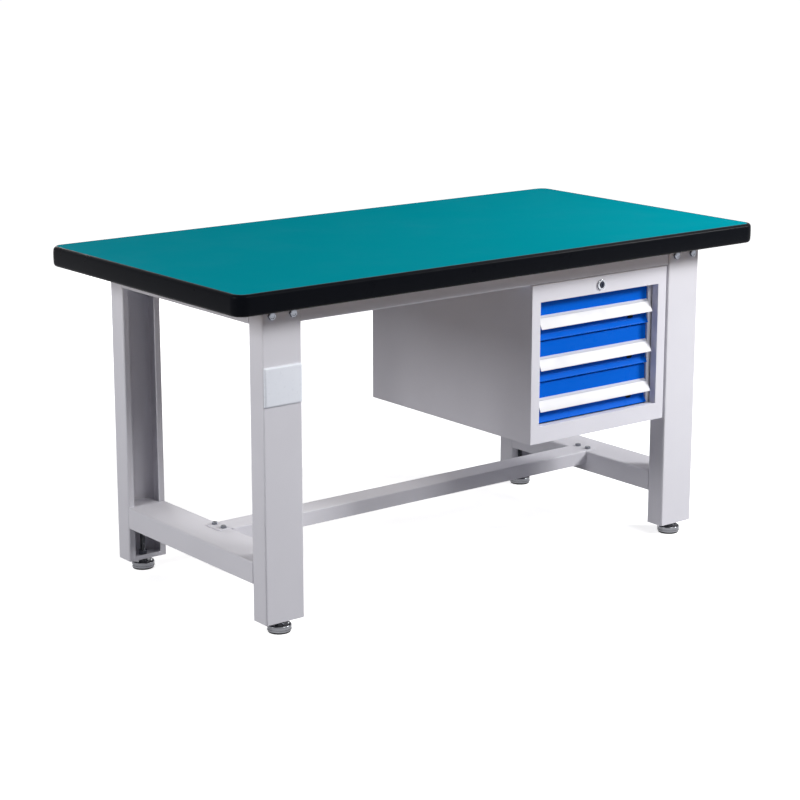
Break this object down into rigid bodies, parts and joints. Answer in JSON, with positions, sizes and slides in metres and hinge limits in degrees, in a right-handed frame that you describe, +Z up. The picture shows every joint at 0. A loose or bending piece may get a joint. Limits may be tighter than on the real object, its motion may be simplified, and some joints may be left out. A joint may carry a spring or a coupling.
{
  "type": "workbench with drawers",
  "caption": "Heavy workshop bench: coated flat top with a black edge band, painted channel-steel frame on levelling feet, and a lockable drawer cabinet hung under the top.",
  "frame": {"origin": "on the floor, under the middle of the worktop, with the feet screwed in", "axes": "+X along the bench to its right end, where the cabinet hangs; +Y from front to back; +Z up"},
  "size_m": [1.5, 0.77, 0.77],
  "materials": {
    "work_surface": "satin sheet, smooth",
    "board": "pressed board",
    "edge_band": "smooth satin black",
    "frame_paint": "powder coat, light grey",
    "label_plate": "smooth white",
    "zinc": "zinc plated",
    "foot_steel": "turned, polished",
    "foot_rubber": "moulded black",
    "cabinet_paint": "powder coat, light grey",
    "slide_steel": "zinc plated",
    "drawer_paint": "powder coat, blue",
    "box_paint": "powder coat, light grey",
    "handle_white": "smooth white",
    "lock_chrome": "polished",
    "lock_steel": "zinc plated"
  },
  "bodies": {
    "bench": {"top_surface_sheet": "work_surface", "top_core": "board", "edge_band": "edge_band", "leg_front_left": "frame_paint", "leg_front_right": "frame_paint", "leg_rear_left": "frame_paint", "leg_rear_right": "frame_paint", "leg_base_plates": "frame_paint", "lower_end_rail_left": "frame_paint", "lower_end_rail_right": "frame_paint", "upper_end_rail_left": "frame_paint", "upper_end_rail_right": "frame_paint", "apron_front": "frame_paint", "apron_rear": "frame_paint", "lower_stretcher": "frame_paint", "blank_label_plate": "label_plate", "top_fixing_screws": "zinc", "apron_bolts": "zinc", "stretcher_bolts": "zinc", "hanging_bolts": "zinc", "frame_nuts": "zinc", "cabinet_wrap": "cabinet_paint", "cabinet_back": "cabinet_paint", "cabinet_top": "cabinet_paint", "cabinet_front_frame": "cabinet_paint", "slide_posts": "cabinet_paint", "slide_outer_1": "slide_steel", "slide_outer_2": "slide_steel", "slide_outer_3": "slide_steel", "lock_housing": "lock_chrome", "lock_fixing_nut": "lock_steel", "lock_guides": "lock_steel"},
    "drawer_1": {"drawer_box_1": "box_paint", "drawer_front_1": "drawer_paint", "drawer_handle_1": "handle_white", "slide_inner_1": "slide_steel"},
    "slide_middle_1": {"slide_middle_1": "slide_steel"},
    "drawer_2": {"drawer_box_2": "box_paint", "drawer_front_2": "drawer_paint", "drawer_handle_2": "handle_white", "slide_inner_2": "slide_steel"},
    "slide_middle_2": {"slide_middle_2": "slide_steel"},
    "drawer_3": {"drawer_box_3": "box_paint", "drawer_front_3": "drawer_paint", "drawer_handle_3": "handle_white", "slide_inner_3": "slide_steel"},
    "slide_middle_3": {"slide_middle_3": "slide_steel"},
    "lock": {"lock_plug": "lock_chrome", "lock_drive_rod": "lock_steel", "lock_crank": "lock_steel"},
    "lock_bar": {"lock_bar": "lock_steel"},
    "foot_front_left": {"levelling_foot_front_left": "foot_steel", "foot_pad_front_left": "foot_rubber"},
    "foot_front_right": {"levelling_foot_front_right": "foot_steel", "foot_pad_front_right": "foot_rubber"},
    "foot_rear_left": {"levelling_foot_rear_left": "foot_steel", "foot_pad_rear_left": "foot_rubber"},
    "foot_rear_right": {"levelling_foot_rear_right": "foot_steel", "foot_pad_rear_right": "foot_rubber"}
  },
  "joints": [
    {"name": "drawer_1_slide", "type": "slide", "parent": "bench", "child": "drawer_1", "axis": [0, -1, 0], "range_m": [0, 0.45]},
    {"name": "slide_middle_1_slide", "type": "slide", "parent": "bench", "child": "slide_middle_1", "axis": [0, -1, 0], "range_m": [0, 0.225]},
    {"name": "drawer_2_slide", "type": "slide", "parent": "bench", "child": "drawer_2", "axis": [0, -1, 0], "range_m": [0, 0.45]},
    {"name": "slide_middle_2_slide", "type": "slide", "parent": "bench", "child": "slide_middle_2", "axis": [0, -1, 0], "range_m": [0, 0.225]},
    {"name": "drawer_3_slide", "type": "slide", "parent": "bench", "child": "drawer_3", "axis": [0, -1, 0], "range_m": [0, 0.45]},
    {"name": "slide_middle_3_slide", "type": "slide", "parent": "bench", "child": "slide_middle_3", "axis": [0, -1, 0], "range_m": [0, 0.225]},
    {"name": "lock_turn", "type": "hinge", "parent": "bench", "child": "lock", "pos_m": [0.318, -0.305, 0.6585], "axis": [0, 1, 0], "range_deg": [0, 90]},
    {"name": "lock_bar_slide", "type": "slide", "parent": "bench", "child": "lock_bar", "axis": [0, 0, 1], "range_m": [-0.0143, 0]},
    {"name": "foot_front_left_screw", "type": "slide", "parent": "bench", "child": "foot_front_left", "axis": [0, 0, -1], "range_m": [0, 0.02]},
    {"name": "foot_front_right_screw", "type": "slide", "parent": "bench", "child": "foot_front_right", "axis": [0, 0, -1], "range_m": [0, 0.02]},
    {"name": "foot_rear_left_screw", "type": "slide", "parent": "bench", "child": "foot_rear_left", "axis": [0, 0, -1], "range_m": [0, 0.02]},
    {"name": "foot_rear_right_screw", "type": "slide", "parent": "bench", "child": "foot_rear_right", "axis": [0, 0, -1], "range_m": [0, 0.02]}
  ],
  "couplings": [
    {"joint": "slide_middle_1_slide", "follows": "drawer_1_slide", "ratio": 0.5},
    {"joint": "slide_middle_2_slide", "follows": "drawer_2_slide", "ratio": 0.5},
    {"joint": "slide_middle_3_slide", "follows": "drawer_3_slide", "ratio": 0.5},
    {"joint": "lock_bar_slide", "follows": "lock_turn", "m_per_rad": -0.0090032}
  ]
}
